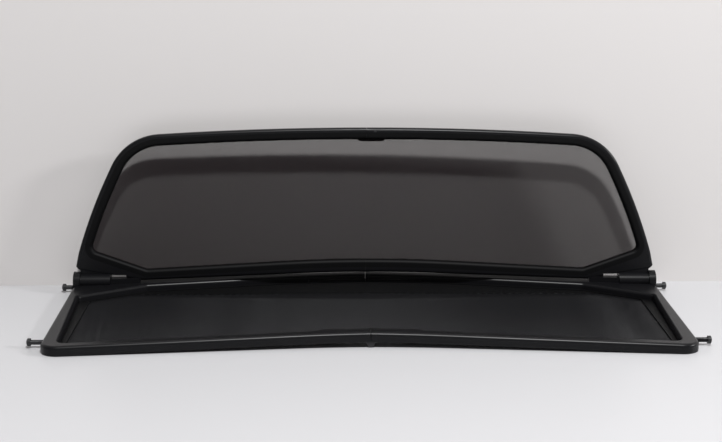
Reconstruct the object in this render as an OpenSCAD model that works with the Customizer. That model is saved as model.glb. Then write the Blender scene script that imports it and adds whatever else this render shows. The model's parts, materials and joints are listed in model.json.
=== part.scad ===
// Wind deflector for an open car: a lower net panel that hangs on four side studs over the rear
// seats, and an upright net panel that tilts on two hinges at the lower panel's far corners.
// Both frames are made in two halves that meet at the centre line.
// Origin: middle of the footprint on the ground. +X right, +Y rearwards, +Z up.

/* [Lower panel] */
// Front to back size of the lower panel
lower_depth = 450; // [430:5:470]
// Half width over the outer faces, at the hinges
lower_half_width = 558; // [550:1:570]
// How far each side runs inwards from the hinge end to the near corner
side_toe = 4; // [0:1:8]
// Height of the moulded rails
lower_rail_h = 17; // [16:0.5:20]
// Width of the near rail, seen from above
near_rail_w = 24; // [22:1:30]
// Radius along the top edges of the lower rails
lower_edge_r = 6; // [4:0.5:7]
// Slope of the near rail, set back towards the centre line
near_slope = 0.089; // [0.06:0.005:0.12]
// Radius that rounds the near rail at the centre line
near_apex_r = 1500; // [1000:100:2500]
// Outer radius of the near corners
near_corner_r = 30; // [26:1:36]
// Lift of the centre line above the corners
centre_lift = 10.5; // [9:0.5:12]

/* [Lower opening] */
// Width of the side rail at the near corner
side_rail_near_w = 28; // [24:1:34]
// Width of the side rail at the corner web
side_rail_far_w = 15; // [13:1:20]
// Radius of the wall in the near corners
wall_corner_r = 14; // [8:1:20]
// Web corner at the side, in front of the tilt axis
web_side_y = 97; // [90:1:105]
// Web corner at the far rail, inside the outer face
web_far_in = 110; // [103:1:118]
// Where the far rail's two wall lines would meet, in front of the rear edge
far_wall_in = 7.28; // [4:0.02:12]
// Slope of the far rail's wall
far_slope = 0.14; // [0.1:0.01:0.16]
// Radius that rounds the far rail's wall at the centre line
far_wall_r = 1600; // [1200:100:2200]
// Radius of the wall at the web corners
web_r = 12; // [6:1:20]
// Width of the net strip along the side walls
side_strip_w = 7; // [4:0.5:14]
// Width of the net strip along the other walls
net_strip_w = 6; // [5:0.5:8]

/* [Far rail] */
// Distance from the tilt axis to the rear edge at the centre line
axis_setback = 50; // [46:1:54]
// Distance from the tilt axis to the rear edge at the corners
corner_back = 20; // [19:0.5:24]
// Outer radius of the far corners
far_corner_r = 18; // [14:1:19]
// Radius that rounds the rear edge at the centre line
far_apex_r = 3000; // [2000:100:4000]

/* [Upper panel] */
// Height of the top edge above the tilt axis, at the centre line
upper_top_h = 296; // [285:1:305]
// Width of the upper rails in the plane of the panel
upper_rail_w = 22; // [21:0.5:24]
// Thickness of the upper rails, front to back
upper_rail_t = 16; // [15:0.5:18]
// Width of the rounded tube part of the rail
tube_w = 13; // [12:0.5:14]
// Radius along the edges of the tube part
tube_edge_r = 5.5; // [4:0.5:6]
// Radius of the arched top rail
top_arch_r = 6200; // [5000:100:8000]
// Start of the top corner, inside the lower panel's outer face
top_corner_in = 166.539; // [160:0.001:175]
// Outer radius of the top corners
top_corner_r = 106.5; // [100:0.5:112]
// Direction of the side rail where it leaves the top corner
side_turn = 64.5; // [62:0.5:66]
// Radius of the bowed side rails
side_arch_r = 1000; // [800:50:1400]
// Height of the bottom rail's upper edge, where its two straight lines would meet
sill_peak_h = 45.5; // [43:0.5:48]
// Slope of the bottom rail
sill_slope = 0.056; // [0.04:0.002:0.07]
// Radius that rounds the bottom rail at the centre line
sill_apex_r = 2900; // [2000:100:3500]
// Height of the bottom rail's lower edge, where its two straight lines would meet
base_peak_h = 18.5; // [17:0.5:20]
// Lowest edge of the bottom rail above the tilt axis
sill_low_h = 0.6; // [0.4:0.1:2]
// Inner corner of the corner web at the bottom rail, inside the lower panel's outer face
gusset_sill_in = 139; // [133:1:148]
// Height of the corner web's inner corner at the side rail
gusset_side_h = 60; // [56:1:64]
// Radius of the net opening at the corner webs
gusset_r = 12; // [8:1:16]

/* [Tilt hinges] */
// Height of the tilt axis
axis_h = 22; // [22:0.5:24]
// Radius of the outer ear
ear_r = 18.5; // [17.5:0.5:19]
// Thickness of the outer ear
ear_t = 12.5; // [11:0.5:14]
// Radius of the barrel
barrel_r = 14; // [13:0.5:15]
// Length of the barrel
barrel_len = 57; // [54:1:60]
// Length of the inner ear
inner_ear_len = 27; // [24:1:30]
// Half thickness of the inner ear, front to back
inner_ear_half = 9.5; // [9:0.5:9.5]
// Height of the inner ear above the tilt axis
inner_ear_top = 6; // [5.5:0.5:6]
// Radius of the tilt pin
tilt_pin_r = 4; // [3.5:0.5:4.5]
// Wall of the plain bush in the barrel
bush_wall = 2; // [1.5:0.5:3]
// Running clearance of the tilt pin in the bush
running_gap = 0.05; // [0.02:0.01:0.08]
// Side gap between barrel and ears
side_gap = 0.3; // [0.2:0.1:0.5]
// Gap round moving parts of the hinge
swing_gap = 0.7; // [0.5:0.1:1]

/* [Studs] */
// Reach of the studs beyond the outer faces at the hinges
stud_reach = 24; // [20:1:32]
// Distance between the rows of studs
stud_rows = 350; // [330:5:360]
// Height of the stud axes
stud_h = 10; // [9:0.5:11]
// Radius of the stud's neck
stud_neck_r = 4.2; // [3.5:0.1:4.5]
// Radius of the stud's head
stud_head_r = 7; // [6:0.5:8]
// Length of the round wall of the head
stud_head_wall = 5; // [4:0.5:6]
// Length of the domed end of the head
stud_dome = 2.5; // [1.5:0.5:3]
// Length of the spigot inside the rail
stud_spigot = 14; // [10:1:15]

/* [Centre hinges] */
// Radius of the knuckles
knuckle_r = 6.4; // [6:0.1:6.5]
// Height of the fold axis
fold_axis_h = 6.7; // [6.6:0.1:7]
// Radius of the fold pins
fold_pin_r = 2.5; // [2:0.5:3]
// Half width of the hinge lug where it meets the rail
lug_half_w = 10.5; // [9:0.5:12]
// Length of a hinge leaf
leaf_len = 36; // [32:1:42]
// Width of a hinge leaf
leaf_w = 17; // [15:1:18]
// Thickness of a hinge leaf
leaf_t = 3; // [2.5:0.5:4]
// Length of the thickened pad of the near rail, from the centre line
near_pad_len = 72; // [60:1:80]
// Width of the near pad
near_pad_w = 7; // [7:0.5:10]
// Length of the thickened pad of the far rail, from the centre line
far_pad_len = 115; // [100:5:130]
// Width of the far pad
far_pad_w = 16; // [12:1:20]
// Gap between the two halves
seam = 0.6; // [0.4:0.1:1]

/* [Top rail joint] */
// Run of the slanted seam to either side
seam_slant = 5; // [3:0.5:6]
// Length of the notch in the top of the rail
notch_len = 20; // [16:1:24]
// Depth of the notch
notch_depth = 2; // [1.5:0.5:2.5]
// Radius of the joint pin
joint_pin_r = 2.5; // [2:0.5:3]

/* [Nets] */
// Thickness of the net
net_t = 0.8; // [0.6:0.1:1]
// How far the net reaches under the strips
net_tuck = 4; // [3:0.5:4.5]
// Thickness of the flange under the lower net
lower_flange_t = 1.6; // [1.4:0.1:2]
// Thickness of the strips that hold the lower net
lower_strip_t = 2; // [1.5:0.5:2.5]
// Thickness of the flange behind the upper net
upper_flange_t = 4; // [3:0.5:5]
// Back face of the rail to the back of the flange
upper_flange_back = 4; // [3:0.5:5]
// Thickness of the strips that hold the upper net
upper_strip_t = 3; // [2.5:0.5:4]
// Front edge of the lower net's doubled band in front of the tilt axis, at the centre line
band_centre_y = 62; // [55:1:66]
// The same at the corner webs
band_side_y = 38; // [34:1:44]

/* [Hidden] */
$fn = 96;

// Free space between pieces that are seated on each other
fit_gap = 0.05;

// Places that follow the width over the outer faces
wall_half_near = lower_half_width - side_rail_near_w;
wall_half_far = lower_half_width - side_rail_far_w;
web_far_x = lower_half_width - web_far_in;
gusset_sill_x = lower_half_width - gusset_sill_in;
stud_tip_x = lower_half_width + stud_reach;
top_arch_turn = asin((lower_half_width - top_corner_in) / top_arch_r);
// Reach of cutting bodies past the part
far_out = 900;
// Largest distance of a drawn chord from its arc
chord_tol = 0.05;

front_y = -lower_depth / 2;
axis_y = lower_depth / 2 - axis_setback;
rise_angle = asin(centre_lift / lower_half_width);

frame_black = [0.09, 0.09, 0.095];
strip_black = [0.07, 0.07, 0.075];
net_black = [0.16, 0.155, 0.16];
steel_grey = [0.32, 0.32, 0.33];

// Plane geometry of outlines: corner points with a radius each, walked with the inside on the left

function heading(a, b) = atan2(b[1] - a[1], b[0] - a[0]);
function along(a, b) = (b - a) / norm(b - a);
function left_of(u) = [-u[1], u[0]];
function steps(t, r) = 2 * ceil(abs(t) / (4 * acos(1 - chord_tol / r)));
function wrap(t) = t > 180 ? t - 360 : t < -180 ? t + 360 : t;
function turn_at(p, i) = wrap(heading(p[i], p[i + 1]) - heading(p[i - 1], p[i]));
function cut_back(p, r, i) = r[i] * tan(abs(turn_at(p, i)) / 2);
function arc_centre(p, r, i) = let (u = along(p[i - 1], p[i]))
    p[i] - u * cut_back(p, r, i) + left_of(u) * r[i] * sign(turn_at(p, i));

// Points of the arc at corner i, moved by inset to the inside
function arc_points(p, r, i, inset, n = 0) = let (
    t = turn_at(p, i), s = sign(t), c = arc_centre(p, r, i),
    start = heading(p[i - 1], p[i]) - 90 * s, m = n > 0 ? n : steps(t, r[i]))
    [for (k = [0:m]) c + (r[i] - s * inset) * [cos(start + t * k / m), sin(start + t * k / m)]];

// Points of an outline; the first and last corners only give directions
function outline_points(p, r, inset = 0) =
    [for (i = [1:len(p) - 2]) each arc_points(p, r, i, inset)];

// Points of an arc round c, by angles from the vertical
function polar(r, a) = r * [sin(a), cos(a)];
function arc_list(c, r, a0, a1, n, first = 0) = [for (k = [first:n]) c + polar(r, a0 + (a1 - a0) * k / n)];

// The right half of an outline and its mirror image, as one closed list
function both_sides(half) = concat(half,
    [for (i = [len(half) - 1:-1:0]) if (half[i][0] > 0.01) [-half[i][0], half[i][1]]]);
function right_only(pts) = [for (q = pts) if (q[0] >= -0.001) q];
function mirrored(q) = [-q[0], q[1]];

// Solid lofted through closed sections: loops[l][k] is station k of the l-th line along the rail
module lofted(loops) {
    n = len(loops[0]);
    m = len(loops);
    points = [for (l = [0:m - 1]) each loops[l]];
    walls = [for (l = [0:m - 1], k = [0:n - 2]) let (a = l * n + k, b = ((l + 1) % m) * n + k)
        each [[a, b, b + 1], [a, b + 1, a + 1]]];
    start = [for (l = [m - 1:-1:0]) l * n];
    end = [for (l = [0:m - 1]) l * n + n - 1];
    polyhedron(points = points, faces = concat(walls, [start, end]), convexity = 6);
}

// Gives a line of plane points a height
function at_height(pts, z) = [for (q = pts) [q[0], q[1], z]];

// Keeps what lies to the right of the seam
module right_side(gap) {
    intersection() {
        children();
        translate([gap, -far_out, -far_out]) cube([far_out, 2 * far_out, 2 * far_out]);
    }
}

// Raises the centre line of the right half while its outer edge stays on the ground
module raised_half() {
    translate([0, 0, centre_lift]) rotate([0, rise_angle, 0]) children();
}

// Outlines of the lower panel

toe_k = side_toe / (axis_y - front_y);
corner_c = [lower_half_width - side_toe - near_corner_r, front_y + near_corner_r];
near_line = corner_c[1] + near_slope * corner_c[0] - near_corner_r * sqrt(1 + near_slope * near_slope);
side_line = corner_c[0] + near_corner_r * sqrt(1 + toe_k * toe_k) - toe_k * corner_c[1];
near_corner_y = (near_line - near_slope * side_line) / (1 + near_slope * toe_k);
near_corner = [side_line + toe_k * near_corner_y, near_corner_y];
near_apex = [0, near_line];
corner_back_y = axis_y + corner_back;
far_corner = [side_line + toe_k * corner_back_y, corner_back_y];
// The rear edge peaks where its rounding just reaches the back of the footprint
peak_k = far_apex_r / (2 * far_corner[0] * far_corner[0]);
rear_rise = (1 - sqrt(1 - 4 * peak_k * (axis_setback - corner_back))) / (2 * peak_k);
far_apex = [0, corner_back_y + rear_rise];

outer_p = [mirrored(near_corner), near_apex, near_corner, far_corner, far_apex, mirrored(far_corner)];
outer_r = [0, near_apex_r, near_corner_r, far_corner_r, far_apex_r, 0];

// The near wall runs beside the near rail, one rail width further in
near_wall_line = near_line + near_rail_w * sqrt(1 + near_slope * near_slope);
wall_near = [wall_half_near, near_wall_line - near_slope * wall_half_near];
web_side = [wall_half_far, axis_y - web_side_y];
wall_far_apex = [0, lower_depth / 2 - far_wall_in];
web_far = [web_far_x, wall_far_apex[1] - far_slope * web_far_x];

wall_p = [mirrored(wall_near), [0, near_wall_line], wall_near, web_side, web_far, wall_far_apex,
    mirrored(web_far)];
wall_r = [0, near_apex_r - near_rail_w, wall_corner_r, web_r, web_r, far_wall_r, 0];

// The visible net ends one strip width inside the wall, and at a straight line along the sides
web_dir = along(web_side, web_far);
web_in = web_far + left_of(web_dir) * net_strip_w;
function on_web_line(x) = web_in[1] + (x - web_in[0]) * web_dir[1] / web_dir[0];
strip_near_line = near_wall_line + net_strip_w * sqrt(1 + near_slope * near_slope);
strip_far_line = wall_far_apex[1] - net_strip_w * sqrt(1 + far_slope * far_slope);
web_grade = web_dir[1] / web_dir[0];
strip_web_x = (strip_far_line - web_in[1] + web_grade * web_in[0]) / (web_grade + far_slope);
strip_side_x = wall_half_near - side_strip_w;
strip_near = [strip_side_x, strip_near_line - near_slope * strip_side_x];
strip_side = [strip_side_x, on_web_line(strip_side_x)];
strip_far = [strip_web_x, strip_far_line - far_slope * strip_web_x];

net_edge_p = [mirrored(strip_near), [0, strip_near_line], strip_near, strip_side, strip_far,
    [0, strip_far_line], mirrored(strip_far)];
net_edge_r = [0, near_apex_r - near_rail_w - net_strip_w, wall_corner_r, web_r, web_r, far_wall_r, 0];

// Levels of the lower panel, measured from its underside
lower_net_z = lower_flange_t;
lower_strip_z = lower_net_z + net_t;

// Lines along the right half of the lower frame, all with the same number of stations
near_steps = 8;
corner_steps = 10;
web_steps = 5;
round_steps = 4;

function half_line(q) = [for (v = q) if (v[0] > -0.001) [max(v[0], seam / 2), v[1]]];
function outer_line(inset) = half_line(concat(
    arc_points(outer_p, outer_r, 1, inset, near_steps),
    arc_points(outer_p, outer_r, 2, inset, corner_steps),
    arc_points(outer_p, outer_r, 3, inset, 2 * web_steps + 1),
    arc_points(outer_p, outer_r, 4, inset, near_steps)));
function inner_line(p, r, inset) = half_line(concat(
    arc_points(p, r, 1, inset, near_steps),
    arc_points(p, r, 2, inset, corner_steps),
    arc_points(p, r, 3, inset, web_steps),
    arc_points(p, r, 4, inset, web_steps),
    arc_points(p, r, 5, inset, near_steps)));

function lower_loops() = let (r = lower_edge_r, h = lower_rail_h, n = round_steps) concat(
    [at_height(outer_line(0), 0)],
    [for (k = [0:n]) at_height(outer_line(r - r * cos(90 * k / n)), h - r + r * sin(90 * k / n))],
    [for (k = [n:-1:0]) at_height(inner_line(wall_p, wall_r, r * cos(90 * k / n) - r),
        h - r + r * sin(90 * k / n))],
    [at_height(inner_line(wall_p, wall_r, 0), lower_flange_t)],
    [at_height(inner_line(net_edge_p, net_edge_r, 0), lower_flange_t)],
    [at_height(inner_line(net_edge_p, net_edge_r, 0), 0)]);

module ring_region(inset_outer, inset_inner) {
    difference() {
        polygon(both_sides(right_only(outline_points(wall_p, wall_r, inset_outer))));
        polygon(both_sides(right_only(outline_points(net_edge_p, net_edge_r, inset_inner))));
    }
}

// Half of the lower frame without its hinge parts, lying flat
module lower_half_flat() {
    lofted(lower_loops());
    near_pad();
    far_pad();
}

pad_low_z = lower_strip_z + lower_strip_t + fit_gap;

// Thick parts of the rails over the centre hinges; they reach into the rail by pad_root
pad_root = 8;
pad_x = seam / 2 + 0.2;

module near_pad() {
    wall_y = near_wall_line - near_slope * near_pad_len / 2;
    translate([0, wall_y, pad_low_z]) linear_extrude(lower_rail_h - lower_edge_r / 2 - pad_low_z)
        polygon([[pad_x, -pad_root], [near_pad_len, -pad_root], [near_pad_len, near_pad_w - 4],
            [near_pad_len - 4, near_pad_w], [pad_x, near_pad_w]]);
}

module far_pad() {
    wall_y = wall_far_apex[1] - far_slope * far_pad_len / 2;
    translate([0, wall_y, pad_low_z]) linear_extrude(lower_rail_h / 2 - pad_low_z)
        polygon([[pad_x, -far_pad_w], [far_pad_len - far_pad_w / 2, -far_pad_w], [far_pad_len, 0],
            [far_pad_len, pad_root + 4], [pad_x, pad_root + 4]]);
}

// Places of the tilt hinge along X, from the outer face inwards
ear_x1 = lower_half_width;
ear_x0 = ear_x1 - ear_t;
barrel_x1 = ear_x0 - side_gap;
barrel_x0 = barrel_x1 - barrel_len;
inner_ear_x1 = barrel_x0 - side_gap;
inner_ear_x0 = inner_ear_x1 - inner_ear_len;

module at_tilt_axis(x) {
    translate([x, axis_y, axis_h]) rotate([0, 90, 0]) children();
}

module ears() {
    at_tilt_axis(ear_x0) cylinder(r = ear_r, h = ear_t);
    translate([ear_x0, axis_y - ear_r, centre_lift / 20]) cube([ear_t, 2 * ear_r, axis_h]);
    translate([inner_ear_x0, axis_y - inner_ear_half, centre_lift / 4])
        cube([inner_ear_len, 2 * inner_ear_half, axis_h + inner_ear_top - centre_lift / 4]);
}

module lower_half() {
    difference() {
        union() {
            raised_half() lower_half_flat();
            ears();
        }
        // Trough under the barrel
        at_tilt_axis(barrel_x0 - side_gap) cylinder(r = barrel_r + swing_gap, h = barrel_len + 2 * side_gap);
        // Bore of the tilt pin, blind at the outer ear
        at_tilt_axis(inner_ear_x0 - 1) cylinder(r = tilt_pin_r + fit_gap, h = pin_end_x - inner_ear_x0 + 1);
        stud_bore(axis_y, rear_spigot);
        stud_bore(axis_y - stud_rows, stud_spigot);
        raised_half() leaf_pockets();
    }
}

// Studs

// Outer face of the side rail at a stud
function side_x(y) = side_line + toe_k * y;

// The rear studs end inside the outer ear, clear of the barrel
rear_spigot = ear_t - 2;

module at_stud(y, x) {
    translate([x, y, stud_h]) rotate([0, 90, 0]) children();
}

module stud_bore(y, spigot) {
    at_stud(y, side_x(y) - spigot) cylinder(r = stud_neck_r + fit_gap, h = far_out);
}

module stud(y, spigot) {
    foot = side_x(y) - spigot + fit_gap;
    head_x = stud_tip_x - stud_dome - stud_head_wall;
    dome_r = (stud_head_r * stud_head_r + stud_dome * stud_dome) / (2 * stud_dome);
    at_stud(y, foot) cylinder(r = stud_neck_r, h = head_x - foot + 1);
    at_stud(y, head_x) cylinder(r = stud_head_r, h = stud_head_wall);
    at_stud(y, stud_tip_x - stud_dome)
        intersection() {
            cylinder(r = stud_head_r, h = stud_dome);
            translate([0, 0, stud_dome - dome_r]) sphere(dome_r);
        }
}

// Centre hinges under the near and far rails: each leaf lies flush in the rail's underside and
// carries lugs that reach down to the fold pin

near_leaf_y = near_apex[1] - near_apex_r * (sqrt(1 + near_slope * near_slope) - 1) + 3.5;
far_leaf_y = lower_depth / 2 - 3.5 - leaf_w;
lug_pitch = leaf_w / 3;
lug_gap = 0.15;

module leaf_plate(y, grow) {
    translate([-1, y - grow, -1])
        cube([leaf_len + seam + 1 + grow, leaf_w + 2 * grow, leaf_t + 1 + grow]);
}

module leaf_pockets() {
    leaf_plate(near_leaf_y, fit_gap);
    leaf_plate(far_leaf_y, fit_gap);
    for (y = [near_leaf_y, far_leaf_y], x = screw_x)
        translate([x, y + leaf_w / 2, 0]) cylinder(r = screw_r + fit_gap, h = screw_len + 0.5);
}

// Lug on the right-hand side of the fold axis, drawn in the XZ plane
module lug_shape() {
    translate([0, fold_axis_h]) circle(knuckle_r);
    polygon([[-knuckle_r * 0.2, fold_axis_h + knuckle_r * 0.6], [knuckle_r * 0.94, fold_axis_h - knuckle_r * 0.34],
        [lug_half_w, centre_lift + 0.5], [lug_half_w, centre_lift + leaf_t * 0.7], [seam, centre_lift + leaf_t * 0.7]]);
}

module lug(y, slot) {
    translate([0, y + lug_pitch * (slot + 1) - lug_gap, 0])
        rotate([90, 0, 0]) linear_extrude(lug_pitch - 2 * lug_gap) lug_shape();
}

module leaf(y, slots) {
    difference() {
        union() {
            raised_half()
                translate([seam, y, 0]) cube([leaf_len, leaf_w, leaf_t]);
            for (s = slots) lug(y, s);
        }
        translate([0, y - 1, fold_axis_h]) rotate([-90, 0, 0]) cylinder(r = fold_pin_r + fit_gap, h = leaf_w + 2);
        raised_half()
            for (x = screw_x) translate([x, y + leaf_w / 2, -1]) {
                cylinder(r = screw_r + fit_gap, h = leaf_t + 2);
                cylinder(r = screw_head_r + fit_gap, h = 1 + screw_head_t);
            }
        // The neighbour's lug turns in this space
        for (s = [0:2]) if (len(search(s, slots)) == 0)
            translate([-1, y + lug_pitch * (s + 1) + (s < 2 ? 0 : 1), 0]) rotate([90, 0, 0])
                linear_extrude(lug_pitch + (s == 1 ? 0 : 1))
                    translate([1, fold_axis_h]) circle(knuckle_r + swing_gap);
    }
}

module fold_pin(y) {
    translate([0, y, fold_axis_h]) rotate([-90, 0, 0]) cylinder(r = fold_pin_r, h = leaf_w);
}

screw_r = 1.75;
screw_head_r = 3.2;
screw_head_t = 1.6;
screw_len = 10;
screw_x = [18, 30];

module leaf_screw() {
    translate([0, 0, fit_gap]) cylinder(r = screw_head_r, h = screw_head_t - fit_gap);
    cylinder(r = screw_r, h = screw_len);
}

// Tilt pins and bushes

pin_end_x = ear_x1 - 3;

module tilt_pin() {
    at_tilt_axis(inner_ear_x0) cylinder(r = tilt_pin_r, h = pin_end_x - inner_ear_x0 - fit_gap);
}

module hinge_bush() {
    at_tilt_axis(barrel_x0)
        difference() {
            cylinder(r = tilt_pin_r + running_gap + bush_wall, h = barrel_len);
            translate([0, 0, -1]) cylinder(r = tilt_pin_r + running_gap, h = barrel_len + 2);
        }
}

// Upper panel, drawn in its own plane: x as the part's X, y is the height above the tilt axis,
// z is the distance in front of the back face

module upright() {
    translate([0, axis_y + upper_rail_t, axis_h]) rotate([90, 0, 0]) children();
}

arch_c = [0, upper_top_h - top_arch_r];
corner_top = arch_c + polar(top_arch_r, top_arch_turn);
bend_c = corner_top - polar(top_corner_r, top_arch_turn);
corner_low = bend_c + polar(top_corner_r, side_turn);
side_c = corner_low - polar(side_arch_r, side_turn);
function side_angle_at(h, r) = acos((h - side_c[1]) / r);
side_foot_h = ear_r + 3.5;
side_end = side_angle_at(side_foot_h, side_arch_r);

// Arcs of the outer edge: centre, radius, first and last angle from the vertical
outer_arcs = [
    [arch_c, top_arch_r, 0, top_arch_turn],
    [bend_c, top_corner_r, top_arch_turn, side_turn],
    [side_c, side_arch_r, side_turn, side_end]
];

function arcs_points(inset, last) = [for (k = [0:2]) let (
    a = outer_arcs[k], to = k == 2 ? last : a[3], n = steps(to - a[2], a[1]))
    each [for (i = [0:n]) a[0] + polar(a[1] - inset, a[2] + (to - a[2]) * i / n)]];

// Corners of the net opening along the bottom: sill, corner web, side rail
function sill_y(x) = sill_peak_h - sill_slope * abs(x);
gusset_low = [gusset_sill_x, sill_y(gusset_sill_x)];
inner_side_r = side_arch_r - upper_rail_w;
gusset_high = side_c + polar(inner_side_r, side_angle_at(gusset_side_h, inner_side_r));
side_heading = [gusset_high[0], gusset_high[1]] + 100 * left_of(polar(1, side_angle_at(gusset_side_h, inner_side_r)));

sill_p = [mirrored(gusset_low), [0, sill_peak_h], gusset_low, gusset_high, side_heading];
sill_r = [0, sill_apex_r, gusset_r, gusset_r, 0];

// The net opening, made smaller by inset
function opening_points(inset) = let (
    low = right_only(outline_points(sill_p, sill_r, inset)),
    top = arcs_points(upper_rail_w + inset, side_angle_at(gusset_side_h + gusset_r, inner_side_r)))
    both_sides(concat(low, [for (i = [len(top) - 1:-1:0]) top[i]]));

flange_front = upper_flange_back + upper_flange_t;
tube_line = tube_w - upper_rail_w;

// Lower edge of the upper frame: the sill, a bend beside the inner ear, the foot of the side rail
base_bend = [inner_ear_x0 - 30, sill_low_h];
base_slope = (base_peak_h - sill_low_h) / base_bend[0];
foot = side_c + polar(side_arch_r, side_end);
base_p = [mirrored(base_bend), [0, base_peak_h], base_bend, foot, foot + 100 * left_of(polar(1, side_end))];
base_r = [0, sill_apex_r, 14, tube_edge_r + 1, 0];

// How far each half runs past the centre line before the seams are cut
past_centre = 12;
arch_steps = 7;
side_steps = 8;

function apex_list(peak, slope, r, inset) = arc_list([0, peak - r * sqrt(1 + slope * slope)], r + inset,
    -asin(past_centre / r), atan(slope), 4);
function side_lists(inset, low) = concat(
    arc_list(side_c, side_arch_r - inset, low, side_turn, side_steps),
    arc_list(bend_c, top_corner_r - inset, side_turn, top_arch_turn, corner_steps + 2, 1),
    arc_list(arch_c, top_arch_r - inset, top_arch_turn, -asin(past_centre / top_arch_r), arch_steps, 1));
// Ends the two ends of a line on the same upright plane past the centre line
function squared_ends(q) = [for (k = [0:len(q) - 1]) k == 0 || k == len(q) - 1 ? [-past_centre, q[k][1]] : q[k]];
// Angle on the side arc where a corner's own arc ends
function foot_angle(p, r) = let (e = arc_points(p, r, 3, 0, web_steps)[web_steps] - side_c) atan2(e[0], e[1]);

function upper_outer_line(inset) = squared_ends(concat(
    apex_list(base_peak_h, base_slope, sill_apex_r, inset),
    arc_points(base_p, base_r, 2, inset, web_steps),
    arc_points(base_p, base_r, 3, inset, web_steps),
    side_lists(inset, foot_angle(base_p, base_r) - 0.1)));
function upper_inner_line(inset) = squared_ends(concat(
    apex_list(sill_peak_h, sill_slope, sill_apex_r, inset),
    arc_points(sill_p, sill_r, 2, inset, web_steps),
    arc_points(sill_p, sill_r, 3, inset, web_steps),
    side_lists(upper_rail_w + inset, foot_angle(sill_p, sill_r) - 0.1)));

function upper_loops() = let (r = tube_edge_r, t = upper_rail_t, n = round_steps) concat(
    [for (k = [0:n]) at_height(upper_outer_line(r - r * sin(90 * k / n)), r - r * cos(90 * k / n))],
    [for (k = [0:n]) at_height(upper_outer_line(r - r * cos(90 * k / n)), t - r + r * sin(90 * k / n))],
    [for (k = [n:-1:0]) at_height(upper_inner_line(tube_line - r + r * cos(90 * k / n)),
        t - r + r * sin(90 * k / n))],
    [at_height(upper_inner_line(tube_line), flange_front)],
    [at_height(upper_inner_line(0), flange_front)],
    [at_height(upper_inner_line(0), upper_flange_back)],
    [at_height(upper_inner_line(tube_line), upper_flange_back)],
    [at_height(upper_inner_line(tube_line), 0)]);

notch_h = 12;

module upper_half_flat() {
    difference() {
        lofted(upper_loops());
        translate([inner_ear_x0 - 2, -1, -1]) cube([inner_ear_len + 2 + side_gap, notch_h + 1, upper_rail_t + 2]);
    }
    // Block that joins the barrel to the side rail
    linear_extrude(upper_rail_t - 1)
        polygon([[barrel_x0, 0], [barrel_x1, 0], [barrel_x1, side_foot_h + 1], [barrel_x1 - 20, side_foot_h + 8],
            [barrel_x0, barrel_r]]);
}

// Joints of the two upper halves: a tongue and pin in the top rail, a dowel in the sill

bulge_half = 27.5;
bulge_x = 10;
bulge_drop = 4;
bulge_r = 8;
tongue_reach = 38;
tongue_w = 7;
tongue_t = 5;
tongue_h = upper_top_h - tube_w / 2;
pin_x = 17;
dowel_r = 3;
dowel_half = 30;
dowel_h = sill_peak_h - sill_apex_r * (sqrt(1 + sill_slope * sill_slope) - 1)
    - upper_rail_w / 2 - 6;
inner_top_h = upper_top_h - upper_rail_w;

// Space to the left of the slanted seam in the top rail
module left_of_seam(off) {
    translate([0, 0, -1]) linear_extrude(upper_rail_t + 2)
        polygon([[-60, inner_top_h - 20], [seam_slant + off, inner_top_h - 20], [seam_slant + off, inner_top_h],
            [off, upper_top_h + 5], [-60, upper_top_h + 5]]);
}

module right_of_seam(off) {
    translate([0, 0, -1]) linear_extrude(upper_rail_t + 2)
        polygon([[60, inner_top_h - 20], [seam_slant + off, inner_top_h - 20], [seam_slant + off, inner_top_h],
            [off, upper_top_h + 5], [60, upper_top_h + 5]]);
}

module bulge() {
    low = inner_top_h - bulge_drop;
    linear_extrude(flange_front) {
        translate([bulge_x - bulge_half + bulge_r, low]) square([2 * (bulge_half - bulge_r), 2 * bulge_r]);
        for (s = [-1, 1]) translate([bulge_x + s * (bulge_half - bulge_r), low + bulge_r]) circle(bulge_r);
    }
}

module tongue(grow) {
    translate([-5, tongue_h - tongue_w / 2 - grow, (upper_rail_t - tongue_t) / 2 - grow])
        cube([5 + tongue_reach + grow, tongue_w + 2 * grow, tongue_t + 2 * grow]);
}

module joint_bore(r) {
    translate([pin_x, tongue_h, -1]) cylinder(r = r, h = upper_rail_t + 2);
}

module top_notch() {
    translate([-4, upper_top_h - notch_depth, -1]) cube([notch_len, 10, upper_rail_t + 2]);
}

module dowel(r, half) {
    translate([-half, dowel_h, upper_rail_t / 2]) rotate([0, 90, 0]) cylinder(r = r, h = 2 * half);
}

module upper_right_flat() {
    difference() {
        union() {
            upper_half_flat();
            bulge();
        }
        left_of_seam(seam / 2);
        translate([-20, 0, -1]) cube([20 + seam / 2, sill_peak_h + 10, upper_rail_t + 2]);
        tongue(fit_gap);
        joint_bore(joint_pin_r + fit_gap);
        top_notch();
        dowel(dowel_r + fit_gap, dowel_half + 1);
    }
}

module upper_left_flat() {
    difference() {
        union() {
            difference() {
                union() {
                    mirror([1, 0, 0]) upper_half_flat();
                    bulge();
                }
                right_of_seam(-seam / 2);
                translate([-seam / 2, 0, -1]) cube([20, sill_peak_h + 10, upper_rail_t + 2]);
            }
            tongue(0);
        }
        joint_bore(joint_pin_r + fit_gap);
        top_notch();
        dowel(dowel_r + fit_gap, dowel_half + 1);
    }
}

module barrel() {
    at_tilt_axis(barrel_x0) cylinder(r = barrel_r, h = barrel_len);
}

module barrel_bore() {
    at_tilt_axis(barrel_x0 - 1)
        cylinder(r = tilt_pin_r + running_gap + bush_wall + fit_gap, h = barrel_len + 2);
}

// Gap between a strip and the wall of its frame, whose outlines have their own stations
strip_gap = 0.2;

module lower_strip() {
    raised_half() right_side(seam / 2)
        translate([0, 0, lower_strip_z]) linear_extrude(lower_strip_t) ring_region(strip_gap, 0);
}

module upper_strip() {
    upright() right_side(seam / 2) translate([0, 0, flange_front + net_t]) linear_extrude(upper_strip_t)
        difference() {
            polygon(opening_points(tube_w + strip_gap - upper_rail_w));
            polygon(opening_points(0));
        }
}

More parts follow.
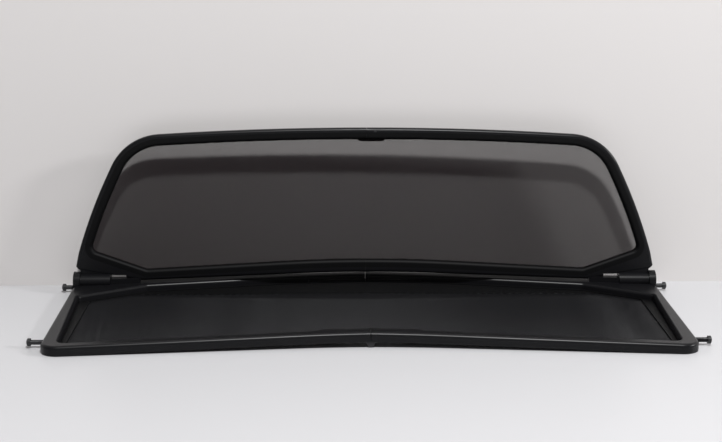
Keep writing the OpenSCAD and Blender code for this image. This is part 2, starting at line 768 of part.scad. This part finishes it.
module lower_net_half() {
    raised_half() right_side(-0.5) {
        translate([0, 0, lower_net_z]) linear_extrude(net_t)
            polygon(both_sides(right_only(outline_points(net_edge_p, net_edge_r, -net_tuck))));
        translate([0, 0, lower_net_z]) linear_extrude(2 * net_t) intersection() {
            polygon(both_sides(right_only(outline_points(net_edge_p, net_edge_r, 0.5))));
            polygon([[-far_out, lower_depth], [-1, lower_depth], [far_out, lower_depth],
                [far_out, axis_y - band_side_y], [web_far_x, axis_y - band_side_y], [0, axis_y - band_centre_y],
                [-far_out, axis_y - band_centre_y]]);
        }
    }
}

module lower_frame_left() { color(frame_black) mirror([1, 0, 0]) lower_half(); }
module lower_frame_right() { color(frame_black) lower_half(); }
module lower_net() {
    color(net_black) {
        lower_net_half();
        mirror([1, 0, 0]) lower_net_half();
    }
}
module lower_net_strip_left() { color(strip_black) mirror([1, 0, 0]) lower_strip(); }
module lower_net_strip_right() { color(strip_black) lower_strip(); }
module near_hinge_leaf_left() { color(steel_grey) mirror([1, 0, 0]) leaf(near_leaf_y, [0, 2]); }
module near_hinge_leaf_right() { color(steel_grey) leaf(near_leaf_y, [1]); }
module near_hinge_pin() { color(steel_grey) fold_pin(near_leaf_y); }
module far_hinge_leaf_left() { color(steel_grey) mirror([1, 0, 0]) leaf(far_leaf_y, [0, 2]); }
module far_hinge_leaf_right() { color(steel_grey) leaf(far_leaf_y, [1]); }
module far_hinge_pin() { color(steel_grey) fold_pin(far_leaf_y); }
module leaf_screws() {
    color(steel_grey) for (m = [0, 1]) mirror([m, 0, 0])
        raised_half() for (y = [near_leaf_y, far_leaf_y], x = screw_x)
            translate([x, y + leaf_w / 2, 0]) leaf_screw();
}
module front_stud_left() { color(frame_black) mirror([1, 0, 0]) stud(axis_y - stud_rows, stud_spigot); }
module front_stud_right() { color(frame_black) stud(axis_y - stud_rows, stud_spigot); }
module rear_stud_left() { color(frame_black) mirror([1, 0, 0]) stud(axis_y, rear_spigot); }
module rear_stud_right() { color(frame_black) stud(axis_y, rear_spigot); }
module tilt_pin_left() { color(steel_grey) mirror([1, 0, 0]) tilt_pin(); }
module tilt_pin_right() { color(steel_grey) tilt_pin(); }
module upper_frame_left() {
    color(frame_black) difference() {
        union() {
            upright() upper_left_flat();
            mirror([1, 0, 0]) barrel();
        }
        mirror([1, 0, 0]) barrel_bore();
    }
}
module upper_frame_right() {
    color(frame_black) difference() {
        union() {
            upright() upper_right_flat();
            barrel();
        }
        barrel_bore();
    }
}
module upper_net() {
    color(net_black) upright() translate([0, 0, flange_front]) linear_extrude(net_t)
        polygon(opening_points(-net_tuck));
}
module upper_net_strip_left() { color(strip_black) mirror([1, 0, 0]) upper_strip(); }
module upper_net_strip_right() { color(strip_black) upper_strip(); }
module hinge_bush_left() { color(strip_black) mirror([1, 0, 0]) hinge_bush(); }
module hinge_bush_right() { color(strip_black) hinge_bush(); }
module top_joint_pin() {
    color(steel_grey) upright() translate([pin_x, tongue_h, 1])
        cylinder(r = joint_pin_r, h = upper_rail_t - 2);
}
module sill_dowel() { color(steel_grey) upright() dowel(dowel_r, dowel_half); }

lower_frame_left();
lower_frame_right();
lower_net();
lower_net_strip_left();
lower_net_strip_right();
near_hinge_leaf_left();
near_hinge_leaf_right();
near_hinge_pin();
far_hinge_leaf_left();
far_hinge_leaf_right();
far_hinge_pin();
leaf_screws();
front_stud_left();
front_stud_right();
rear_stud_left();
rear_stud_right();
tilt_pin_left();
tilt_pin_right();
upper_frame_left();
upper_frame_right();
upper_net();
upper_net_strip_left();
upper_net_strip_right();
hinge_bush_left();
hinge_bush_right();
top_joint_pin();
sill_dowel();
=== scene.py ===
import json
import math

import bmesh
import bpy
from mathutils import Matrix, Vector

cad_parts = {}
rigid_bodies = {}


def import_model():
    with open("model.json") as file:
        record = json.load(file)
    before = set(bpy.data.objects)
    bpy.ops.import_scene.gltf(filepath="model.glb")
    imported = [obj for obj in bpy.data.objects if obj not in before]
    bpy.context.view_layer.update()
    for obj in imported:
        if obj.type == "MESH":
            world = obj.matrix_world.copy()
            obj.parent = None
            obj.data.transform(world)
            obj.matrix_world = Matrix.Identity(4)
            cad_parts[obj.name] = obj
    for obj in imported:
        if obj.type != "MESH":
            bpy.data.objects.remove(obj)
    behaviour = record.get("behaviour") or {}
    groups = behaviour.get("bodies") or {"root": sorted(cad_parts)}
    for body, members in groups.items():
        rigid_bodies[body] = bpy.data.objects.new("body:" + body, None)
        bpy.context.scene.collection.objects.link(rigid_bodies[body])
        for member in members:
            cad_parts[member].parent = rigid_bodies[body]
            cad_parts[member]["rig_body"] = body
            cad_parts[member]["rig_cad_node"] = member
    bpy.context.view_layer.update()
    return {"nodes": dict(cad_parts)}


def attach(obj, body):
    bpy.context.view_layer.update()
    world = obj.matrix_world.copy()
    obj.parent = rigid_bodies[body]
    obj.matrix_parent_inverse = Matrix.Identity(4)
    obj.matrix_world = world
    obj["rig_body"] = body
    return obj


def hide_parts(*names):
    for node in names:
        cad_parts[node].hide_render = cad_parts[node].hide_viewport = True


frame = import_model()

# Camera
# A long lens a little above the deflector and slightly to the left of its middle, as the photograph was taken.
# Its place is in metres and its turns are in radians.

camera_place = Vector((-0.0727, -2.5969, 0.7700))
camera_turn = 0.0229
camera_down = 0.2237
camera_roll = 0.0029
picture_width_px = 722
focal_px = 1491.5
sensor_mm = 36.0

ahead = Vector((math.sin(camera_turn) * math.cos(camera_down),
                math.cos(camera_turn) * math.cos(camera_down),
                -math.sin(camera_down)))
level_right = Vector((math.cos(camera_turn), -math.sin(camera_turn), 0.0))
level_up = level_right.cross(ahead)
right = math.cos(camera_roll) * level_right + math.sin(camera_roll) * level_up
up = math.cos(camera_roll) * level_up - math.sin(camera_roll) * level_right

camera_data = bpy.data.cameras.new("camera")
camera_data.sensor_width = sensor_mm
camera_data.lens = sensor_mm * focal_px / picture_width_px
camera = bpy.data.objects.new("camera", camera_data)
bpy.context.scene.collection.objects.link(camera)
camera.matrix_world = Matrix.Translation(camera_place) @ Matrix((right, up, -ahead)).transposed().to_4x4()
bpy.context.scene.camera = camera
bpy.context.scene.view_settings.view_transform = "Standard"


# Table and wall
# A white lacquered table top with a soft sheen, and a pale painted wall close behind the deflector.
# The wall is see-through from its back, so that it doesn't stand in the way of a view from behind.

def linear(hex_colour):
    """An sRGB hex colour as the linear RGBA that Blender's sockets take."""
    parts = [int(hex_colour[i:i + 2], 16) / 255 for i in (0, 2, 4)]
    return tuple(c / 12.92 if c <= 0.04045 else ((c + 0.055) / 1.055) ** 2.4 for c in parts) + (1.0,)


def add(tree, kind, links=(), **settings):
    """Adds a node with its socket values and attributes, and links (node, its output, input) into it."""
    node = tree.nodes.new(kind)
    for name, value in settings.items():
        socket = name.replace("_", " ")
        if socket in node.inputs:
            node.inputs[socket].default_value = value
        else:
            setattr(node, name, value)
    for source, output, target in links:
        tree.links.new(source.outputs[output], node.inputs[target])
    return node


def new_material(name):
    """An empty material and its node tree."""
    material = bpy.data.materials.new(name)
    material.use_nodes = True
    material.node_tree.nodes.clear()
    return material, material.node_tree


def finish_material(tree, shader, output="BSDF"):
    """Links the last shader to the material's output."""
    end = tree.nodes.new("ShaderNodeOutputMaterial")
    tree.links.new(shader.outputs[output], end.inputs["Surface"])


def plane(name, corners, material):
    """A flat four-sided stage surface."""
    mesh = bpy.data.meshes.new(name)
    mesh.from_pydata(corners, [], [(0, 1, 2, 3)])
    mesh.materials.append(material)
    piece = bpy.data.objects.new(name, mesh)
    bpy.context.scene.collection.objects.link(piece)


table_white, tree = new_material("lacquered_table_white")
shader = add(tree, "ShaderNodeBsdfPrincipled", Base_Color=linear("BDBDBF"), Roughness=0.36, IOR=1.45,
             Specular_IOR_Level=0.3)
finish_material(tree, shader)

wall_paint, tree = new_material("matt_wall_paint")
shader = add(tree, "ShaderNodeBsdfPrincipled", Base_Color=linear("CCC9C8"), Roughness=0.8, IOR=1.45)
clear = add(tree, "ShaderNodeBsdfTransparent")
facing = add(tree, "ShaderNodeNewGeometry")
mix = add(tree, "ShaderNodeMixShader", [(facing, "Backfacing", 0), (shader, "BSDF", 1), (clear, "BSDF", 2)])
finish_material(tree, mix, "Shader")

stage_reach = 6.0
plane("table", [(-stage_reach, -stage_reach, 0), (stage_reach, -stage_reach, 0),
                (stage_reach, stage_reach, 0), (-stage_reach, stage_reach, 0)], table_white)

# The wall stands a little askew: its depth at wall_span to the left and to the right of the middle.
wall_left_y = 0.225
wall_right_y = 0.243
wall_span = 0.70
wall_slope = (wall_right_y - wall_left_y) / (2 * wall_span)
wall_mid_y = (wall_left_y + wall_right_y) / 2
left_end_y = wall_mid_y - wall_slope * stage_reach
right_end_y = wall_mid_y + wall_slope * stage_reach
plane("wall", [(-stage_reach, left_end_y, 0), (stage_reach, right_end_y, 0),
               (stage_reach, right_end_y, stage_reach), (-stage_reach, left_end_y, stage_reach)], wall_paint)


# Lights
# A soft box high in front, a little to the right, and a weaker and lower one far off on the right, in an even
# grey room. Places and sizes are in metres, powers in watts.

def soft_box(name, place, target, size, power):
    """A round area lamp that faces the target."""
    data = bpy.data.lights.new(name, "AREA")
    data.shape = "DISK"
    data.size = size
    data.energy = power
    lamp = bpy.data.objects.new(name, data)
    bpy.context.scene.collection.objects.link(lamp)
    lamp.location = place
    lamp.rotation_euler = (Vector(target) - Vector(place)).to_track_quat("-Z", "Y").to_euler()


soft_box("key_light", place=(0.42, -2.46, 3.88), target=(0.1, 0.1, 0.12), size=0.34, power=205)
soft_box("side_light", place=(4.72, -1.12, 2.13), target=(0.3, 0.1, 0.12), size=0.68, power=133)

room_grey = 0.24
world = bpy.data.worlds.new("room")
bpy.context.scene.world = world
world.use_nodes = True
background = world.node_tree.nodes["Background"]
background.inputs["Color"].default_value = linear("F4F4F6")
background.inputs["Strength"].default_value = room_grey


# Moulded frames
# The four half frames: black glass-filled nylon, injection moulded in a tool with a fine spark-eroded grain.
# Each is the CAD half with its skin joined and its long roundings shaded smooth, so that one soft highlight runs
# along every rail.

weld_reach = 0.00001
flat_within_deg = 0.05
rounding_deg = 38


def only_selected(piece):
    """Selects one object and nothing else, for the operators that follow."""
    bpy.ops.object.select_all(action="DESELECT")
    piece.select_set(True)
    bpy.context.view_layer.objects.active = piece


def joined_copy(node, piece_name, body, slot, *materials):
    """A copy of a CAD node whose loose triangles are joined to one closed skin."""
    only_selected(frame["nodes"][node])
    bpy.ops.object.duplicate()
    piece = bpy.context.view_layer.objects.active
    piece.name = piece_name
    piece.data.name = piece_name
    piece.data.materials.clear()
    for material in materials:
        piece.data.materials.append(material)
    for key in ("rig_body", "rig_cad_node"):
        if key in piece:
            del piece[key]
    bpy.ops.object.mode_set(mode="EDIT")
    bpy.ops.mesh.select_all(action="SELECT")
    bpy.ops.mesh.remove_doubles(threshold=weld_reach)
    bpy.ops.mesh.dissolve_limited(angle_limit=math.radians(flat_within_deg))
    bpy.ops.object.mode_set(mode="OBJECT")
    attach(piece, body)
    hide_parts(node)
    return piece


def shade_round(piece):
    """Smooth shading over the roundings, which leaves the flat faces flat."""
    only_selected(piece)
    bpy.ops.object.shade_smooth_by_angle(angle=math.radians(rounding_deg))
    modifier = piece.modifiers.new("flat_faces_first", "WEIGHTED_NORMAL")
    modifier.keep_sharp = True
    bpy.ops.object.modifier_apply(modifier=modifier.name)


def moulded_plastic(name, colour, roughness, gloss, grain_mm, grain_height_mm):
    """Black moulded plastic with a grain of the given size, which takes the edge off its highlights."""
    material, tree = new_material(name)
    place = add(tree, "ShaderNodeTexCoord")
    grain = add(tree, "ShaderNodeTexNoise", [(place, "Object", "Vector")],
                Scale=1000 / grain_mm, Detail=2.0, Roughness=0.6)
    bump = add(tree, "ShaderNodeBump", [(grain, "Fac", "Height")], Strength=0.35, Distance=grain_height_mm / 1000)
    shader = add(tree, "ShaderNodeBsdfPrincipled", [(bump, "Normal", "Normal")],
                 Base_Color=linear(colour), Roughness=roughness, IOR=1.5, Specular_IOR_Level=gloss)
    finish_material(tree, shader)
    return material


frame_plastic = moulded_plastic("moulded_black_nylon", "0F0F11", 0.33, 0.19, grain_mm=1.2, grain_height_mm=0.04)

# Each lower half rises by 10.5 mm over the 558 mm from its outer end to the centre line.
lower_rise = 10.5 / 558

# Corners of the lower opening: between which x and y each stands in the CAD half, and how far the real one is
# moved inwards and back, in metres. The side rails are wider than the CAD's and the corner webs reach further in.
corner_moves = [
    ((0.500, 0.541), (-0.208, -0.150), (0.006, 0.000)),
    ((0.515, 0.5515), (0.060, 0.100), (0.006, 0.010)),
    ((0.425, 0.470), (0.135, 0.172), (0.030, 0.0042)),
]
# The same for the pad over the near centre hinge, which is longer and wider than the CAD's.
pad_moves = [
    ((0.060, 0.0735), (-0.168, -0.155), (-0.010, 0.009)),
    ((0.000, 0.002), (-0.1640, -0.1600), (0.000, 0.009)),
]


def move_corners(piece, moves):
    """Moves the vertices in each place inwards and back, along the slope of their half."""
    for vertex in piece.data.vertices:
        side = 1 if vertex.co.x > 0 else -1
        for (x0, x1), (y0, y1), (inwards, back) in moves:
            if x0 <= side * vertex.co.x <= x1 and y0 <= vertex.co.y <= y1:
                vertex.co += Vector((-side * inwards, back, inwards * lower_rise))
                break


# The side rails of the upper panel spread further towards the hinges, by up to foot_spread, above the outer ears.
foot_spread = 0.006
foot_low_z = 0.042
foot_full_z = 0.054
foot_end_z = 0.240
foot_start_x = 0.35
foot_full_x = 0.50


def spread_foot(piece):
    """Moves the lower part of an upper side rail outwards."""
    for vertex in piece.data.vertices:
        x, z = vertex.co.x, vertex.co.z
        across = min(max((abs(x) - foot_start_x) / (foot_full_x - foot_start_x), 0), 1)
        rise = min(max((z - foot_low_z) / (foot_full_z - foot_low_z), 0), 1)
        fall = min(max((foot_end_z - z) / (foot_end_z - foot_full_z), 0), 1)
        vertex.co.x += math.copysign(foot_spread * across * rise * fall, x)


# The ends of the bottom rail stand within seam_reach of the centre line, and keep a tenth of that gap.
seam_reach = 0.0005
seam_share = 0.1
sill_top_z = 0.10


def close_sill_seam(piece):
    """Brings the two ends of the bottom rail together at the centre line, where no light shows through."""
    for vertex in piece.data.vertices:
        if abs(vertex.co.x) < seam_reach and vertex.co.z < sill_top_z:
            vertex.co.x *= seam_share


# The notch in the top rail over its tongue joint, and the seam that stays where it was.
notch_floor_z = 0.31599
notch_reach = 0.0165
top_seam_x = 0.0013
top_seam_half = 0.0003


def close_top_notch(piece):
    """Brings the ends of the top rail together over the tongue joint, up to a narrow seam."""
    for vertex in piece.data.vertices:
        if vertex.co.z > notch_floor_z and abs(vertex.co.x) < notch_reach:
            vertex.co.x = top_seam_x + math.copysign(top_seam_half, vertex.co.x - top_seam_x)


for side in ("left", "right"):
    half = joined_copy(f"lower_frame_{side}", f"lower_half_{side}", "lower_panel", "frame", frame_plastic)
    move_corners(half, corner_moves + pad_moves)
    shade_round(half)
    half = joined_copy(f"upper_frame_{side}", f"upper_half_{side}", "upper_panel", "frame", frame_plastic)
    spread_foot(half)
    close_sill_seam(half)
    close_top_notch(half)
    shade_round(half)


# Net strips
# Black vinyl strips, duller than the frames, pressed in over the edge of the net, with a near-black colour that is
# partly painted shade. The lower ones lie in the corner between net and wall; the upper ones are flush with the
# rail's front and round off its inner edge.

# The strips' colour is darker than the frames' partly as painted shade of the corner between net and wall.
strip_vinyl_with_painted_shade = moulded_plastic("black_vinyl_with_painted_shade", "070708", 0.55, 0.12, grain_mm=2.0, grain_height_mm=0.02)
rail_front_y = 0.175
behind_rail_front = 0.00003
front_depth = 0.001
centre_reach = 0.001
sideways = 0.1
tube_rounding = 0.0056
strip_rounding = 0.0068
rounding_steps = 6
opening_middle = Vector((0.0, 0.0, 0.16))


def bring_forward(strip):
    """Brings an upper strip's front to the rail's front and over its tube, and rounds the inner edge."""
    skin = bmesh.new()
    skin.from_mesh(strip.data)
    front_limit = min(vertex.co.y for vertex in skin.verts) + front_depth
    outwards = {}
    inner_edges = []
    for face in skin.faces:
        middle = face.calc_center_median()
        if abs(face.normal.y) > sideways or abs(middle.x) < centre_reach:
            continue
        to_opening = face.normal.dot(Vector((opening_middle.x - middle.x, 0, opening_middle.z - middle.z))) > 0
        for edge in face.edges:
            if all(vertex.co.y < front_limit for vertex in edge.verts):
                if to_opening:
                    inner_edges.append(edge)
                else:
                    for vertex in edge.verts:
                        outwards[vertex] = outwards.get(vertex, Vector()) + face.normal
    for vertex in skin.verts:
        if vertex.co.y < front_limit:
            vertex.co.y = rail_front_y - behind_rail_front
    for vertex, direction in outwards.items():
        vertex.co += direction.normalized() * tube_rounding
    bmesh.ops.bevel(skin, geom=inner_edges, offset=strip_rounding, segments=rounding_steps, profile=0.5,
                    affect="EDGES")
    skin.to_mesh(strip.data)
    skin.free()


for side in ("left", "right"):
    strip = joined_copy(f"lower_net_strip_{side}", f"lower_strip_{side}", "lower_panel", "strip", strip_vinyl_with_painted_shade)
    move_corners(strip, corner_moves)
    shade_round(strip)

    strip = joined_copy(f"upper_net_strip_{side}", f"upper_strip_{side}", "upper_panel", "strip", strip_vinyl_with_painted_shade)
    bring_forward(strip)
    spread_foot(strip)
    close_sill_seam(strip)
    shade_round(strip)


# Side studs and hinge parts
# The studs and bushes are moulded in black with a smoother finish than the frames', so their highlights are
# brighter. The hinge leaves, pins and screws are steel, coated black, which shows as an even satin.

def dress(material, *nodes):
    """Gives CAD nodes a material."""
    for name in nodes:
        piece = frame["nodes"][name]
        piece.data.materials.clear()
        piece.data.materials.append(material)


stud_plastic = moulded_plastic("moulded_black_stud", "1B1B1D", 0.38, 0.5, grain_mm=1.0, grain_height_mm=0.03)
for row in ("front", "rear"):
    for side in ("left", "right"):
        stud = joined_copy(f"{row}_stud_{side}", f"{row}_side_stud_{side}", "lower_panel", "stud", stud_plastic)
        shade_round(stud)
dress(stud_plastic, "hinge_bush_left", "hinge_bush_right")

coated_steel, tree = new_material("black_coated_steel")
shader = add(tree, "ShaderNodeBsdfPrincipled", Base_Color=linear("232325"), Roughness=0.32, IOR=1.5)
finish_material(tree, shader)
dress(coated_steel, "near_hinge_leaf_left", "near_hinge_leaf_right", "near_hinge_pin", "far_hinge_leaf_left",
      "far_hinge_leaf_right", "far_hinge_pin", "leaf_screws", "tilt_pin_left", "tilt_pin_right",
      "top_joint_pin", "sill_dowel")


# Nets
# Fine black polyester net, knitted and stretched flat over each frame, with its meshes drawn as coarse as they
# need to be to show. Light that meets the cloth squarely passes the meshes of its two faces in line, and light
# from high above is caught by the threads of one face or the other.

def net_cloth(name, mesh_mm, directions, thread_edge, mesh_edge, colour):
    """Black net: threads that cross in two directions, with clear meshes between them, one every mesh_mm."""
    material, tree = new_material(name)
    place = add(tree, "ShaderNodeTexCoord")
    rows = [add(tree, "ShaderNodeTexWave", [(place, "Object", "Vector")], bands_direction=direction,
                Scale=math.pi / (10 * mesh_mm / 1000), Distortion=0.0) for direction in directions]
    both = add(tree, "ShaderNodeMath", [(rows[0], "Fac", 0), (rows[1], "Fac", 1)], operation="ADD")
    share = add(tree, "ShaderNodeMapRange", [(both, "Value", "Value")], From_Min=thread_edge, From_Max=mesh_edge,
                To_Min=0.02, To_Max=0.98)
    threads = add(tree, "ShaderNodeBsdfPrincipled", Base_Color=linear(colour), Roughness=0.7, IOR=1.5,
                  Specular_IOR_Level=0.1)
    gaps = add(tree, "ShaderNodeBsdfTransparent")
    mix = add(tree, "ShaderNodeMixShader", [(share, "Result", 0), (threads, "BSDF", 1), (gaps, "BSDF", 2)])
    finish_material(tree, mix, "Shader")
    return material


upper_cloth = net_cloth("upper_black_net", 1.2, "XZ", 0.78, 1.47, "191113")
lower_cloth = net_cloth("lower_black_net", 0.8, "XY", 0.79, 1.46, "141416")
far_band_cloth = net_cloth("far_band_black_net", 0.8, "XY", 1.6, 2.1, "080809")

net = joined_copy("upper_net", "upper_net_cloth", "upper_panel", "net", upper_cloth)
spread_foot(net)

# The far band of the lower net is drawn darker and denser: it starts at band_middle_y on the centre line and
# further back outwards.
band_middle_y = 0.113
band_slope = 0.024 / 0.448
net = joined_copy("lower_net", "lower_net_cloth", "lower_panel", "net", lower_cloth, far_band_cloth)
for face in net.data.polygons:
    if face.center.y > band_middle_y + band_slope * abs(face.center.x):
        face.material_index = 1
